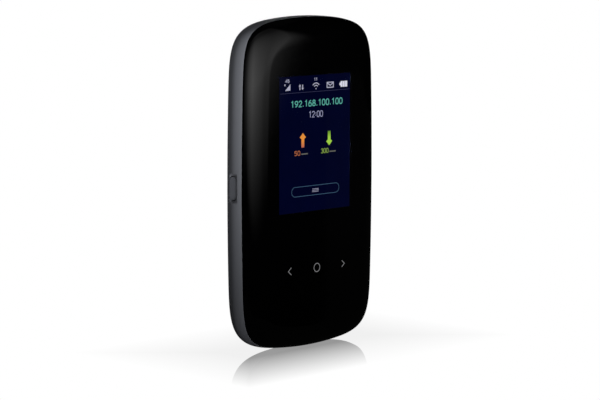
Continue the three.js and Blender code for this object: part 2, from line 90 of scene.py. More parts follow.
def scene_point(x, depth, z):
    """A point given by x, depth behind the front face and height above mid-height."""
    return Vector((x, FRONT_Y + depth, MID_Z + z))


# ---- mesh helpers -----------------------------------------------------------------------
def add_mesh(name, verts, faces, material=None, body="housing", sharp=30):
    mesh = bpy.data.meshes.new(name)
    mesh.from_pydata([tuple(v) for v in verts], [], faces)
    tidy = bmesh.new()
    tidy.from_mesh(mesh)
    bmesh.ops.remove_doubles(tidy, verts=tidy.verts, dist=1e-7)
    bmesh.ops.recalc_face_normals(tidy, faces=tidy.faces)
    tidy.to_mesh(mesh)
    tidy.free()
    mesh.shade_smooth()
    mesh.set_sharp_from_angle(angle=math.radians(sharp))
    piece = bpy.data.objects.new(name, mesh)
    bpy.context.scene.collection.objects.link(piece)
    if material:
        mesh.materials.append(material)
    if body:
        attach(piece, body)
    return piece


def bezier(points, steps):
    """Points of a quadratic or cubic curve, without its last point."""
    made = []
    for i in range(steps):
        t = i / steps
        level = [Vector(p) for p in points]
        while len(level) > 1:
            level = [a.lerp(b, t) for a, b in zip(level, level[1:])]
        made.append(level[0])
    return made


def outline(grow=0.0):
    """The body's outline in x and z, counted from mid-height."""
    side_x = HALF_W - SIDE_ARC_Z ** 2 / (2 * SIDE_ARC_R)
    end_z = HALF_H - END_ARC_X ** 2 / (2 * END_ARC_R)
    side_lean = SIDE_ARC_Z / SIDE_ARC_R
    end_lean = END_ARC_X / END_ARC_R
    side = (side_x, SIDE_ARC_Z)
    near_side = (
        side_x - CORNER_PULL * math.sin(side_lean),
        SIDE_ARC_Z + CORNER_PULL * math.cos(side_lean),
    )
    near_end = (
        END_ARC_X + CORNER_PULL * math.cos(end_lean),
        end_z - CORNER_PULL * math.sin(end_lean),
    )
    end = (END_ARC_X, end_z)
    side_pull = 2 * HALF_W - side_x
    end_pull = 2 * HALF_H - end_z

    def turned(sx, sz, *points):
        return [(p[0] * sx, p[1] * sz) for p in points]

    curves = [
        [(side_x, -SIDE_ARC_Z), (side_pull, 0), side],
        [side, near_side, near_end, end],
        [end, (0, end_pull), (-end[0], end[1])],
        turned(-1, 1, end, near_end, near_side, side),
        [(-side_x, SIDE_ARC_Z), (-side_pull, 0), (-side_x, -SIDE_ARC_Z)],
        turned(-1, -1, side, near_side, near_end, end),
        [(-end[0], -end[1]), (0, -end_pull), (end[0], -end[1])],
        turned(1, -1, end, near_end, near_side, side),
    ]
    sx = (HALF_W + grow) / HALF_W
    sz = (HALF_H + grow) / HALF_H
    return [(p.x * sx, p.y * sz) for curve in curves for p in bezier(curve, CURVE_STEPS)]


def ring_points(grow, depth):
    """The outline at one depth, levelled off where the body stands on the floor."""
    return [scene_point(x, depth, max(z, -MID_Z)) for x, z in outline(grow)]


def bands(count, first, second):
    """Faces between two closed rings of count points that start at first and second."""
    faces = []
    for i in range(count):
        j = (i + 1) % count
        faces.append((first + i, first + j, second + j, second + i))
    return faces


def loft(name, stations, material, body="housing", capped=None):
    """A skin round a closed loop of (grow, depth) stations of the outline.

    Where capped is a station's number, flat caps take the place of the band after it.
    """
    verts = []
    faces = []
    count = len(outline())
    for i, (grow, depth) in enumerate(stations):
        verts += ring_points(grow, depth)
        if i != capped:
            faces += bands(count, i * count, ((i + 1) % len(stations)) * count)
    if capped is not None:
        for i in (capped, capped + 1):
            faces.append(list(range(i * count, (i + 1) * count)))
    return add_mesh(name, verts, faces, material, body, sharp=40)


def dome_stations(offset, steps):
    """The dome from the flat out to its edge, for a skin offset inside the outside."""
    stations = []
    for i in range(steps + 1):
        turn = math.pi / 2 * (1 - i / steps)
        grow = -(DOME_INSET - offset) * (1 - math.cos(turn)) - offset
        stations.append((grow, offset + (DOME_DEPTH - offset) * (1 - math.sin(turn))))
    return stations


def crown_stations():
    """The dome's outside, eased into the flat so that reflections run on without a kink."""
    join = 5 * MM
    ease_steps, arc_steps = 14, 20
    lean = (DOME_INSET - join) / DOME_INSET
    rise = math.sqrt(1 - lean ** 2)
    depth = DOME_DEPTH * (1 - rise)
    slope = DOME_DEPTH / DOME_INSET * lean / rise
    reach = 3 * depth / slope
    stations = []
    for i in range(ease_steps):
        part = i / ease_steps
        stations.append((-join - reach * (1 - part), depth * part ** 3))
    for i in range(arc_steps + 1):
        turn = math.asin(rise) * (1 - i / arc_steps)
        stations.append((-DOME_INSET * (1 - math.cos(turn)), DOME_DEPTH * (1 - math.sin(turn))))
    return stations


def side_stations(start, end, steps):
    """The crowned side from the front edge to its widest point, then on round the back."""
    stations = []
    for i in range(steps + 1):
        depth = start + (end - start) * i / steps
        if depth < SIDE_APEX:
            grow = BULGE - SIDE_R + math.sqrt(SIDE_R ** 2 - (SIDE_APEX - depth) ** 2)
        else:
            part = (depth - SIDE_APEX) / (DEPTH - SIDE_APEX)
            grow = BULGE - BACK_ROUND * (1 - math.sqrt(1 - part ** 2))
        stations.append((grow, depth))
    return stations


def back_stations(start, offset, steps):
    """The rounded back, for a skin that lies offset inside the outside."""
    span = DEPTH - offset - SIDE_APEX
    first = math.asin((start - SIDE_APEX) / span)
    stations = []
    for i in range(steps + 1):
        turn = first + (math.pi / 2 - first) * i / steps
        grow = BULGE - offset - (BACK_ROUND - offset) * (1 - math.cos(turn))
        stations.append((grow, SIDE_APEX + span * math.sin(turn)))
    return stations


def fillet(a, corner, b, radius):
    """Stations that round a corner of a profile with a small arc-like curve."""
    steps = 4
    a, corner, b = Vector(a), Vector(corner), Vector(b)
    start = corner + (a - corner).normalized() * radius
    end = corner + (b - corner).normalized() * radius
    curve = []
    for i in range(steps + 1):
        t = i / steps
        curve.append(tuple((1 - t) ** 2 * start + 2 * t * (1 - t) * corner + t * t * end))
    return curve


def obround(width, length, steps):
    """A closed obround that stands on its end: (across, along) points from its middle."""
    r = width / 2
    loop = []
    for end in (1, -1):
        for i in range(steps + 1):
            turn = math.pi * i / steps + (0 if end > 0 else math.pi)
            loop.append((r * math.cos(turn), end * (length - width) / 2 + r * math.sin(turn)))
    return loop


# ---- materials --------------------------------------------------------------------------
def new_material(name):
    material = bpy.data.materials.new(name)
    material.use_nodes = True
    nodes = material.node_tree.nodes
    return material, nodes, material.node_tree.links, nodes["Principled BSDF"]


def noise(nodes, links, scale, detail=2.0, rough=0.5):
    place = nodes.new("ShaderNodeTexCoord")
    texture = nodes.new("ShaderNodeTexNoise")
    texture.inputs["Scale"].default_value = scale
    texture.inputs["Detail"].default_value = detail
    texture.inputs["Roughness"].default_value = rough
    links.new(place.outputs["Object"], texture.inputs["Vector"])
    return texture


def map_range(nodes, links, value, low, high, to_low, to_high):
    ramp = nodes.new("ShaderNodeMapRange")
    ramp.inputs["From Min"].default_value = low
    ramp.inputs["From Max"].default_value = high
    ramp.inputs["To Min"].default_value = to_low
    ramp.inputs["To Max"].default_value = to_high
    links.new(value, ramp.inputs["Value"])
    return ramp.outputs["Result"]


def maths(nodes, links, kind, first, second, clamp=False):
    node = nodes.new("ShaderNodeMath")
    node.operation = kind
    node.use_clamp = clamp
    for socket, value in zip(node.inputs, (first, second)):
        if isinstance(value, float):
            socket.default_value = value
        else:
            links.new(value, socket)
    return node.outputs[0]


def tint(nodes, links, factor, first, second):
    """Goes from the first colour to the second; each is a tuple or another node's output."""
    mix = nodes.new("ShaderNodeMix")
    mix.data_type = "RGBA"
    for socket, color in ((mix.inputs[6], first), (mix.inputs[7], second)):
        if isinstance(color, tuple):
            socket.default_value = (*color, 1)
        else:
            links.new(color, socket)
    links.new(factor, mix.inputs[0])
    return mix.outputs[2]


def bump(nodes, links, shader, height, strength, distance):
    node = nodes.new("ShaderNodeBump")
    node.inputs["Strength"].default_value = strength
    node.inputs["Distance"].default_value = distance
    links.new(height, node.inputs["Height"])
    links.new(node.outputs["Normal"], shader.inputs["Normal"])


def drifting(nodes, links, shader, scale, detail, dark, light):
    """A base colour that wanders between two."""
    drift = noise(nodes, links, scale, detail)
    color = tint(nodes, links, drift.outputs["Fac"], dark, light)
    links.new(color, shader.inputs["Base Color"])


def uneven(nodes, links, shader, scale, span, low, high):
    """A roughness that wanders from low to high as the noise goes through its span."""
    sheen = noise(nodes, links, scale, 4)
    rough = map_range(nodes, links, sheen.outputs["Fac"], *span, low, high)
    links.new(rough, shader.inputs["Roughness"])


def object_xyz(nodes, links):
    """The three object coordinates of the point being shaded."""
    place = nodes.new("ShaderNodeTexCoord")
    split = nodes.new("ShaderNodeSeparateXYZ")
    links.new(place.outputs["Object"], split.inputs[0])
    return [split.outputs[axis] for axis in "XYZ"]


GRAIN_DEPTH = 0.01 * MM


def moulded(name, dark, light, rough, grain=7000, strength=0.35, gloss=0.5):
    """Moulded plastic: fine spark-eroded grain, slow colour drift and uneven sheen."""
    material, nodes, links, shader = new_material(name)
    shader.inputs["Specular IOR Level"].default_value = gloss
    drifting(nodes, links, shader, 60, 3, dark, light)
    uneven(nodes, links, shader, 350, (0.3, 0.7), rough - 0.05, rough + 0.05)
    fine = noise(nodes, links, grain, 2, 0.6)
    bump(nodes, links, shader, fine.outputs["Fac"], strength, GRAIN_DEPTH)
    return material


HAZE_SPAN = (0.35, 0.75)


def polished(name, dark, light):
    """Hard gloss plastic with the faintest haze of fine wipe marks."""
    material, nodes, links, shader = new_material(name)
    shader.inputs["IOR"].default_value = 1.5
    drifting(nodes, links, shader, 90, 2, dark, light)
    uneven(nodes, links, shader, 500, HAZE_SPAN, 0.03, 0.065)
    wave = noise(nodes, links, 120, 1)
    bump(nodes, links, shader, wave.outputs["Fac"], 0.02, 0.02 * MM)
    return material


def metal(name, dark, light, rough, stretch=(1, 1, 30)):
    """Rolled or plated metal with fine brushing."""
    material, nodes, links, shader = new_material(name)
    shader.inputs["Metallic"].default_value = 1.0
    place = nodes.new("ShaderNodeTexCoord")
    turn = nodes.new("ShaderNodeMapping")
    turn.inputs["Scale"].default_value = stretch
    links.new(place.outputs["Object"], turn.inputs["Vector"])
    brush = nodes.new("ShaderNodeTexNoise")
    brush.inputs["Scale"].default_value = 900
    brush.inputs["Detail"].default_value = 4
    links.new(turn.outputs["Vector"], brush.inputs["Vector"])
    lines = brush.outputs["Fac"]
    links.new(tint(nodes, links, lines, dark, light), shader.inputs["Base Color"])
    sheen = map_range(nodes, links, lines, 0.2, 0.8, rough - 0.08, rough + 0.1)
    links.new(sheen, shader.inputs["Roughness"])
    bump(nodes, links, shader, lines, 0.15, GRAIN_DEPTH)
    return material


def lit(name, color, other=None, span=(0, 1), drift=0.08):
    """A lit part of the display; with another colour, it changes to that over a span in mm."""
    material, nodes, links, shader = new_material(name)
    shader.inputs["Roughness"].default_value = 0.35
    shader.inputs["Specular IOR Level"].default_value = 0.0
    shader.inputs["Base Color"].default_value = (0, 0, 0, 1)
    shader.inputs["Emission Strength"].default_value = 1.0
    mottle = noise(nodes, links, 140, 1).outputs["Fac"]

    def mottled(full):
        dim = tuple(part * (1 - drift) for part in full)
        return tint(nodes, links, mottle, dim, full)

    glow = mottled(color)
    if other:
        low, high = (MID_Z + z * MM for z in span)
        rise = map_range(nodes, links, object_xyz(nodes, links)[2], low, high, 0, 1)
        glow = tint(nodes, links, rise, glow, mottled(other))
    links.new(glow, shader.inputs["Emission Color"])
    return material


def window_glass(name):
    """Clear glass with the faintest haze."""
    material, nodes, links, shader = new_material(name)
    shader.inputs["Transmission Weight"].default_value = 1.0
    shader.inputs["IOR"].default_value = 1.45
    uneven(nodes, links, shader, 500, HAZE_SPAN, 0.0, 0.02)
    drifting(nodes, links, shader, 90, 2, (0.96, 0.97, 1.0), (1, 1, 1))
    return material


def linear(r, g, b):
    """Scene-linear colour from an everyday 0 to 255 colour."""
    def one(v):
        v /= 255
        return v / 12.92 if v <= 0.04045 else ((v + 0.055) / 1.055) ** 2.4
    return (one(r), one(g), one(b))


GLOSS = polished("gloss_black", (0.0001, 0.0001, 0.00012), (0.0002, 0.0002, 0.00023))
MATTE = moulded("matte_grey", (0.074, 0.077, 0.086), (0.082, 0.085, 0.095), 0.5)
BUTTON = moulded("button_grey", (0.060, 0.063, 0.072), (0.070, 0.073, 0.082), 0.42, grain=9000)
BLACK = moulded("matte_black", (0.018, 0.018, 0.020), (0.026, 0.026, 0.028), 0.6, grain=5000)
# painted shade: a near-black, far darker than the matte black plastic, for the lining of the window
# opening, so the key light shows no lit strip on its wall
PAINTED_SHADE = moulded("window_painted_shade", (0.001, 0.001, 0.0012), (0.002, 0.002, 0.0022), 0.9, gloss=0.0)
GLASS = window_glass("clear_window")


# ---- gloss front ------------------------------------------------------------------------
def window_ring(grow):
    """Where rays from the window's centre to the front's flat edge cross the window's rim."""
    half_w = SCREEN_W / 2 + grow
    half_h = SCREEN_H / 2 + grow
    ring = []
    for x, z in outline(-DOME_INSET):
        dz = z - SCREEN_Z
        scale = min(half_w / max(abs(x), 1e-9), half_h / max(abs(dz), 1e-9))
        ring.append((x * scale, SCREEN_Z + dz * scale))
    return ring


def gloss_front():
    """The domed gloss front: its outside, a skirt that slips into the side frame, its inside."""
    count = len(outline())
    skirt = -FRAME_WALL - GAP
    skirt_end = DOME_DEPTH + 1.2 * MM
    outside = crown_stations()
    outside += fillet(outside[-1], (0, DOME_DEPTH), (skirt, DOME_DEPTH), 0.08 * MM)[1:]
    outside += [(skirt, DOME_DEPTH), (skirt, skirt_end)]
    inside = [(skirt - COVER_WALL, skirt_end), (skirt - COVER_WALL, DOME_DEPTH)]
    inside += dome_stations(COVER_WALL, 14)[::-1][1:]
    stations = outside + inside
    verts = [scene_point(x, 0, z) for x, z in window_ring(WINDOW_MARGIN)]
    for grow, depth in stations:
        verts += ring_points(grow, depth)
    verts += [scene_point(x, COVER_WALL, z) for x, z in window_ring(WINDOW_MARGIN)]
    faces = []
    rings = len(stations) + 2
    for i in range(rings):
        faces += bands(count, i * count, ((i + 1) % rings) * count)
    front = add_mesh("front_gloss", verts, faces, GLOSS, sharp=35)
    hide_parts("front_cover")


def window_pane():
    """The clear window, a hair smaller than its opening and flush with the front."""
    count = len(outline())
    verts = []
    for depth in (0, PANE_T):
        verts += [scene_point(x, depth, z) for x, z in window_ring(WINDOW_MARGIN - 0.005 * MM)]
    faces = bands(count, 0, count)
    faces += [list(range(count)), list(range(count, 2 * count))]
    pane = add_mesh("window_pane", verts, faces, GLASS, sharp=35)
    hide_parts("display_window")


def window_lining():
    """A thin matte frame inside the opening, so its wall mirrors nothing of the display; its near-black
    colour, darker than the other black plastic, is painted shade, so the key light leaves no lit strip
    on the opening's wall.
    """
    count = len(outline())
    verts = []
    faces = []
    outer, inner = WINDOW_MARGIN - 0.01 * MM, WINDOW_MARGIN - 0.1 * MM
    near, far = PANE_T + 0.02 * MM, COVER_WALL - 0.05 * MM
    rings = ((outer, near), (outer, far), (inner, far), (inner, near))
    for i, (grow, depth) in enumerate(rings):
        verts += [scene_point(x, depth, z) for x, z in window_ring(grow)]
        faces += bands(count, i * count, ((i + 1) % len(rings)) * count)
    lining = add_mesh("window_lining", verts, faces, PAINTED_SHADE)


gloss_front()
window_pane()
window_lining()


# ---- side frame and back cover ----------------------------------------------------------
def cut(piece, cutter):
    """Takes cutter's shape out of piece for good."""
    step = piece.modifiers.new("cut", "BOOLEAN")
    step.operation = "DIFFERENCE"
    step.solver = "EXACT"
    step.object = cutter
    apply_modifiers(piece)
    bpy.data.objects.remove(cutter)


def apply_modifiers(piece):
    graph = bpy.context.evaluated_depsgraph_get()
    done = bpy.data.meshes.new_from_object(piece.evaluated_get(graph))
    piece.modifiers.clear()
    piece.data = done


def obround_prism(name, length, width, centre, reach, axis):
    """A closed obround bar; its long side stands up (axis X) or lies across (axis Z)."""
    loop = obround(width, length, 16)
    verts = []
    for far in reach:
        for across, along in loop:
            if axis == "X":
                verts.append((far, centre.y + across, centre.z + along))
            else:
                verts.append((centre.x + along, centre.y + across, far))
    n = len(loop)
    faces = bands(n, 0, n) + [list(range(n)), list(range(n, 2 * n))]
    return add_mesh(name, verts, faces, body=None)


def side_band():
    """The matte side frame, with the button's slot and the socket's mouth cut through it."""
    start = DOME_DEPTH + SEAM_LINE
    inner = -FRAME_WALL
    curve = side_stations(start, SEAM, 24)
    ring = [(inner, start)]
    ring += fillet((inner, start), curve[0], curve[1], 0.05 * MM)
    ring += curve[1:-1]
    ring += fillet(curve[-2], curve[-1], (inner, SEAM), 0.1 * MM)
    ring += [(inner, SEAM)]
    band = loft("side_band", ring, MATTE)
    low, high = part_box("power_button")
    slot = (BUTTON_LEN + 2 * BUTTON_GAP, BUTTON_WIDE + 2 * BUTTON_GAP)
    slot_reach = (-34 * MM, -27 * MM)
    cut(band, obround_prism("slot", *slot, (low + high) / 2, slot_reach, "X"))
    low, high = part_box("usb_shell")
    mouth_reach = (-4 * MM, 3.4 * MM)
    cut(band, obround_prism("mouth", *USB_MOUTH, (low + high) / 2, mouth_reach, "Z"))
    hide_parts("side_frame")


def rear_shell():
    """The back cover: its rounded outside, and a tongue that slips inside the side frame."""
    start = SEAM + SEAM_LINE
    tongue_out = -FRAME_WALL - GAP
    tongue_in = tongue_out - 0.9 * MM
    tongue_end = SEAM - 0.9 * MM
    outer = back_stations(start, 0, 30)
    stations = [(tongue_out, tongue_end), (tongue_out, start)]
    stations += fillet((tongue_out, start), outer[0], outer[1], 0.1 * MM)
    stations += outer[1:]
    inside = back_stations(start + COVER_WALL, COVER_WALL, 20)[::-1]
    inside += [(tongue_in, start + 0.4 * MM), (tongue_in, tongue_end)]
    shell = loft("rear_shell", stations + inside, MATTE, "back_cover", len(stations) - 1)
    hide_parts("back_cover")


side_band()
rear_shell()


# ---- power key --------------------------------------------------------------------------
def power_key():
    """The power button's cap, with a rounded rim."""
    low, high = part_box("power_button")
    centre = (low + high) / 2
    rim_steps = 6
    flat_inset = 0.55 * MM
    cap_depth = high.x - low.x - 0.9 * MM
    profile = [(flat_inset, 0.0)]
    for i in range(rim_steps + 1):
        turn = math.pi / 2 * i / rim_steps
        profile.append((BUTTON_EDGE * (1 - math.sin(turn)), BUTTON_EDGE * (1 - math.cos(turn))))
    profile.append((0.0, cap_depth))
    verts = []
    for inset, inwards in profile:
        loop = obround(BUTTON_WIDE - 2 * inset, BUTTON_LEN - 2 * inset, 24)
        verts += [(low.x + inwards, centre.y + a, centre.z + b) for a, b in loop]
    n = len(loop)
    faces = []
    for i in range(len(profile) - 1):
        faces += bands(n, i * n, (i + 1) * n)
    faces.append(list(range(n)))
    faces.append(list(range((len(profile) - 1) * n, len(profile) * n)))
    key = add_mesh("power_key", verts, faces, BUTTON, "power_button", sharp=35)
    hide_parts("power_button")


power_key()


# ---- carried-over CAD nodes: materials --------------------------------------------------
FINISHES = {
    "steel": metal("tinned_steel", (0.45, 0.46, 0.47), (0.66, 0.67, 0.68), 0.32),
    "zinc": metal("screw_steel", (0.28, 0.28, 0.29), (0.42, 0.42, 0.43), 0.35, (1, 1, 1)),
    "gold": metal("gold_foil", (0.62, 0.43, 0.16), (0.80, 0.60, 0.26), 0.28),
    "chip": moulded("chip_resin", (0.014, 0.014, 0.015), (0.024, 0.024, 0.026), 0.55, grain=4000),
    "white": moulded("white_plastic", (0.62, 0.62, 0.58), (0.72, 0.72, 0.69), 0.5),
    "guide": moulded("light_guide", (0.66, 0.68, 0.70), (0.76, 0.78, 0.80), 0.25),
    "flex": moulded("amber_flex", (0.26, 0.11, 0.02), (0.36, 0.16, 0.035), 0.3),
    "foam": moulded("black_foam", (0.008, 0.008, 0.009), (0.02, 0.02, 0.021), 0.9, 2500, strength=0.8),
    "board": moulded("green_laminate", (0.006, 0.07, 0.035), (0.012, 0.10, 0.05), 0.3, grain=3000),
    "card": moulded("card_plastic", (0.62, 0.62, 0.60), (0.70, 0.70, 0.68), 0.35),
    "wrap": moulded("battery_wrap", (0.022, 0.023, 0.026), (0.034, 0.035, 0.038), 0.4, grain=3000),
    "label": moulded("blank_label", (0.48, 0.49, 0.50), (0.56, 0.57, 0.58), 0.55, grain=3000),
    "cell": polished("display_glass", (0.004, 0.005, 0.012), (0.006, 0.007, 0.018)),
    "black": BLACK,
}
NODE_FINISH = {
    "inner_deck": "black", "main_board": "board", "usb_shell": "steel", "usb_tongue": "chip",
    "sim_socket": "steel", "sim_card": "card", "switch_body": "steel", "switch_plunger": "white",
    "battery": "wrap", "battery_label": "label", "battery_connector": "chip",
    "antenna_carrier_top": "black", "antenna_carrier_bottom": "black", "antenna_top": "gold",
    "antenna_bottom": "gold", "antenna_wifi_left": "flex", "antenna_wifi_right": "flex",
    "window_gasket": "foam", "optical_pad": "cell", "lcd_cell": "cell", "lcd_backlight": "white",
    "lcd_flex": "flex", "lcd_connector": "white", "touch_key_flex": "flex", "key_light_guide": "guide",
}
PREFIX_FINISH = {"screw_": "zinc", "shield_": "steel", "battery_spring": "gold", "key_led": "white"}


def finish_cad_nodes():
    for name, node in NODES.items():
        look = NODE_FINISH.get(name)
        look = look or next((v for k, v in PREFIX_FINISH.items() if name.startswith(k)), None)
        look = look or ("chip" if name.endswith("_chip") else "black")
        node.data.materials.clear()
        node.data.materials.append(FINISHES[look])


finish_cad_nodes()


# ---- display image ----------------------------------------------------------------------
IMAGE_DEPTH = PANE_T + 0.04 * MM
INK_T = 0.015 * MM

# each figure as open lines in a box 1 wide and 2 high
FIGURES = {
    "0": [[
        (0.5, 0), (0.14, 0.15), (0, 0.6), (0, 1.4), (0.14, 1.85), (0.5, 2),
        (0.86, 1.85), (1, 1.4), (1, 0.6), (0.86, 0.15), (0.5, 0),
    ]],
    "1": [[(0.15, 1.6), (0.6, 2), (0.6, 0)]],
    "2": [[(0, 1.5), (0.15, 1.88), (0.5, 2), (0.85, 1.88), (1, 1.5), (0.9, 1.15), (0, 0.05), (1, 0.05)]],
    "3": [
        [(0, 1.75), (0.5, 2), (0.92, 1.75), (0.9, 1.3), (0.45, 1.08)],
        [(0.45, 1.08), (0.95, 0.85), (1, 0.4), (0.6, 0), (0, 0.2)],
    ],
    "4": [[(0.75, 0), (0.75, 2)], [(0.75, 1.95), (0, 0.6), (1, 0.6)]],
    "5": [[
        (0.95, 1.95), (0.12, 1.95), (0.05, 1.15), (0.5, 1.28), (0.9, 1.05),
        (1, 0.6), (0.85, 0.15), (0.45, 0), (0, 0.2),
    ]],
    "6": [[
        (0.85, 1.95), (0.35, 1.7), (0.05, 1.1), (0, 0.55), (0.15, 0.12), (0.5, 0),
        (0.85, 0.12), (1, 0.6), (0.85, 1.05), (0.5, 1.2), (0.15, 1.05),
    ]],
    "8": [
        [(0.5, 1.08), (0.12, 1.3), (0.12, 1.75), (0.5, 2), (0.88, 1.75), (0.88, 1.3), (0.5, 1.08)],
        [(0.5, 1.08), (0, 0.75), (0.05, 0.25), (0.5, 0), (0.95, 0.25), (1, 0.75), (0.5, 1.08)],
    ],
    "9": [[
        (0.15, 0.05), (0.65, 0.3), (0.95, 0.9), (1, 1.45), (0.85, 1.88), (0.5, 2),
        (0.15, 1.88), (0, 1.4), (0.15, 0.95), (0.5, 0.8), (0.85, 0.95),
    ]],
}


def round_points(cx, cz, radius, start, end, steps):
    """steps + 1 points on an arc; the angles are in degrees from +x."""
    points = []
    for i in range(steps + 1):
        turn = math.radians(start + (end - start) * i / steps)
        points.append((cx + radius * math.cos(turn), cz + radius * math.sin(turn)))
    return points


def corners(x0, z0, x1, z1):
    return [(x0, z0), (x1, z0), (x1, z1), (x0, z1)]


def mirrored(cx, half):
    """A closed outline from its right half, whose first point is on the middle line."""
    return [(cx + x, z) for x, z in half] + [(cx - x, z) for x, z in half[:0:-1]]


class Ink:
    """Flat shapes of one colour on the display, drawn in mm from the body's middle."""

    def __init__(self, depth=IMAGE_DEPTH):
        self.verts = []
        self.faces = []
        self.depth = depth

    def poly(self, points):
        """A filled outline, thickened a little."""
        first = len(self.verts)
        n = len(points)
        for back in (0, INK_T):
            self.verts += [scene_point(x * MM, self.depth - INK_T + back, z * MM) for x, z in points]
        self.faces += bands(n, first, first + n)
        self.faces.append(list(range(first, first + n)))
        self.faces.append(list(range(first + n, first + 2 * n)))

    def rect(self, x0, z0, x1, z1):
        self.poly(corners(x0, z0, x1, z1))

    def stroke(self, outer, inner):
        """The band between two closed outlines with the same number of points."""
        n = len(outer)
        for i in range(n):
            j = (i + 1) % n
            self.poly([outer[i], outer[j], inner[j], inner[i]])

    def arc(self, cx, cz, radius, width, start, end, steps):
        """Part of a ring; the angles are in degrees from +x."""
        outer = round_points(cx, cz, radius + width / 2, start, end, steps)
        inner = round_points(cx, cz, radius - width / 2, start, end, steps)
        self.poly(outer + inner[::-1])

    def line(self, points, width):
        """An open line of even width through the points, with mitred corners."""
        points = [Vector(p) for p in points]
        sides = []
        for i, here in enumerate(points):
            before = (here - points[i - 1]).normalized() if i else None
            after = (points[i + 1] - here).normalized() if i + 1 < len(points) else None
            way = ((before or after) + (after or before)).normalized()
            across = Vector((-way.y, way.x))
            reach = width / 2 / max(abs(way.dot(after or before)), 0.5)
            sides.append((here + across * reach, here - across * reach))
        first = len(self.verts)
        for back in (0, INK_T):
            for pair in sides:
                self.verts += [scene_point(p.x * MM, self.depth - INK_T + back, p.y * MM) for p in pair]
        n = len(sides)
        for i in range(n - 1):
            a, c = first + 2 * i, first + 2 * (n + i)
            self.faces += [(a, a + 1, a + 3, a + 2), (c, c + 2, c + 3, c + 1)]
            self.faces += [(a, a + 2, c + 2, c), (a + 1, c + 1, c + 3, a + 3)]
        end, back = first + 2 * (n - 1), first + 2 * n
        self.faces += [(first, back, back + 1, first + 1), (end, end + 1, end + 2 * n + 1, end + 2 * n)]

    def digits(self, text, x, z, size, advance, weight):
        """Figures of size (width, height) whose line starts at x and stands on z."""
        for mark in text:
            narrow = mark in ".:"
            for dot in {".": (0,), ":": (0.45, 1.2)}.get(mark, ()):
                foot = z + dot * size[1] / 2
                self.rect(x, foot, x + weight, foot + weight)
            for path in FIGURES.get(mark, ()):
                self.line([(x + a * size[0], z + b * size[1] / 2) for a, b in path], weight)
            x += advance * (0.5 if narrow else 1)

    def piece(self, name, material):
        made = add_mesh(name, self.verts, self.faces, material)


def pill(cx, cz, w, h):
    """An obround outline that lies on its side."""
    return [(cx + along, cz - across) for across, along in obround(h, w, 10)]


def status_row():
    """Signal, traffic, wireless, mail and battery marks along the top of the display."""
    icons = Ink()
    icons.poly([(-14.35, 31.3), (-11.85, 31.35), (-11.85, 33.45)])
    icons.rect(-14.65, 32.9, -14.15, 33.5)
    for x, up in ((-7.35, 1), (-6.05, -1)):
        foot, tip = (31.3, 33.2) if up > 0 else (33.0, 31.2)
        neck = tip - 0.75 * up
        half = [(0, tip), (0.55, neck), (0.2, neck), (0.2, foot)]
        icons.poly(mirrored(x, half))
    waves = (0.33, 31.35)
    icons.arc(*waves, 1.9, 0.32, 38, 142, 12)
    icons.arc(*waves, 1.1, 0.3, 40, 140, 10)
    icons.poly(round_points(*waves, 0.22, 0, 360, 12)[:-1])
    icons.stroke(corners(5.5, 31.3, 8.9, 33.3), corners(5.85, 31.6, 8.55, 33.0))
    icons.line([(5.8, 32.95), (7.2, 32.1), (8.6, 32.95)], 0.34)
    icons.piece("display_icons", lit("display_white", linear(178, 178, 198)))
    labels = Ink()
    labels.digits("4", -14.15, 34.0, (0.85, 0.95), 1.0, 0.3)
    labels.digits("5", -13.1, 34.0, (0.7, 0.95), 1.0, 0.3)
    labels.digits("11", -0.6, 34.0, (0.7, 0.9), 0.85, 0.24)
    labels.piece("display_labels", lit("display_label_white", linear(150, 150, 172)))
    charge = Ink()
    charge.poly([(11.75, 31.95), (12.3, 31.7), (12.3, 32.9), (11.75, 32.7)])
    for left, right in ((12.3, 13.2), (13.35, 14.25), (14.4, 15.5)):
        charge.rect(left, 31.3, right, 33.25)
    charge.piece("display_battery", lit("display_battery_white", linear(226, 226, 238)))
    rule = Ink()
    rule.rect(-16.5, 30.37, 16.9, 30.47)
    rule.piece("display_rule", lit("display_rule_grey", linear(66, 66, 96)))


def arrow(cx, tip, tail, name, glow):
    """A broad arrow from its tail to its tip."""
    way = 1 if tip > tail else -1
    wing, neck = tip - 1.4 * way, tip - 1.95 * way
    ink = Ink()
    ink.poly(mirrored(cx, [(0, tip), (1.45, wing), (0.66, neck), (0.66, tail)]))
    ink.piece(name, glow)


